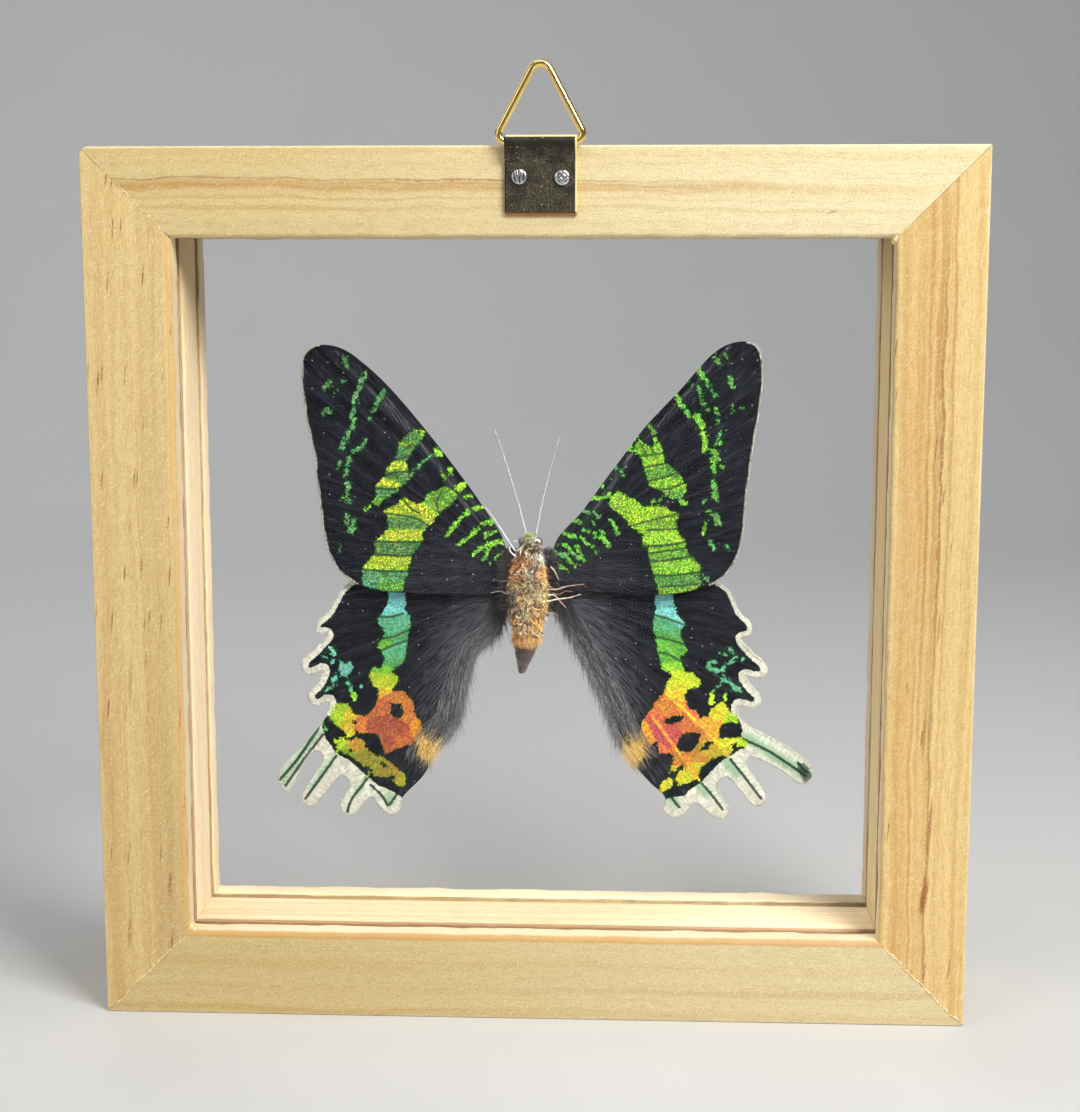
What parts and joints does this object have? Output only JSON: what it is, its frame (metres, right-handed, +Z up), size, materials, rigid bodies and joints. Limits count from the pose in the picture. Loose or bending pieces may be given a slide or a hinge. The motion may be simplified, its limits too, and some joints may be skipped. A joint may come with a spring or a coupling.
{
  "type": "framed moth specimen",
  "caption": "Spread long-tailed day-flying moth between two panes of glass in a square mitred pine frame, with a wire hanger that swings.",
  "frame": {"origin": "middle of the frame's bottom face, where it stands on a shelf", "axes": "+Z up through the hanger, +Y from the hanger side to the display side, +X to the right seen from the hanger side"},
  "size_m": [0.152, 0.0295, 0.1657],
  "materials": {
    "pine": "bare sanded pine",
    "pale_pine": "bare sawn pine, paler than the rails",
    "clear_glass": "clear polished",
    "brass_plate": "brass-plated steel, slightly tarnished",
    "nail_steel": "bare steel, cross-hatched head",
    "wing_scales": "black scaled wing with iridescent bands",
    "body_fur": "orange and cream fur",
    "antenna_bristle": "dry dark bristle",
    "clear_glue": "clear dried glue"
  },
  "bodies": {
    "frame": {"top_rail": "pine", "bottom_rail": "pine", "left_rail": "pine", "right_rail": "pine", "top_spacer": "pale_pine", "bottom_spacer": "pale_pine", "left_spacer": "pale_pine", "right_spacer": "pale_pine", "glass_hanger_side": "clear_glass", "glass_display_side": "clear_glass", "hanger_strip": "brass_plate", "nail_left": "nail_steel", "nail_right": "nail_steel", "body": "body_fur", "forewing_left": "wing_scales", "forewing_right": "wing_scales", "hindwing_left": "wing_scales", "hindwing_right": "wing_scales", "antenna_left": "antenna_bristle", "antenna_right": "antenna_bristle", "glue_dab": "clear_glue"},
    "triangle": {"hanger_triangle": "brass_plate"}
  },
  "joints": [
    {"name": "triangle_swing", "type": "hinge", "parent": "frame", "child": "triangle", "pos_m": [0.00175, -0.0148, 0.1524], "axis": [1, 0, 0], "range_deg": [-75, 165]}
  ]
}
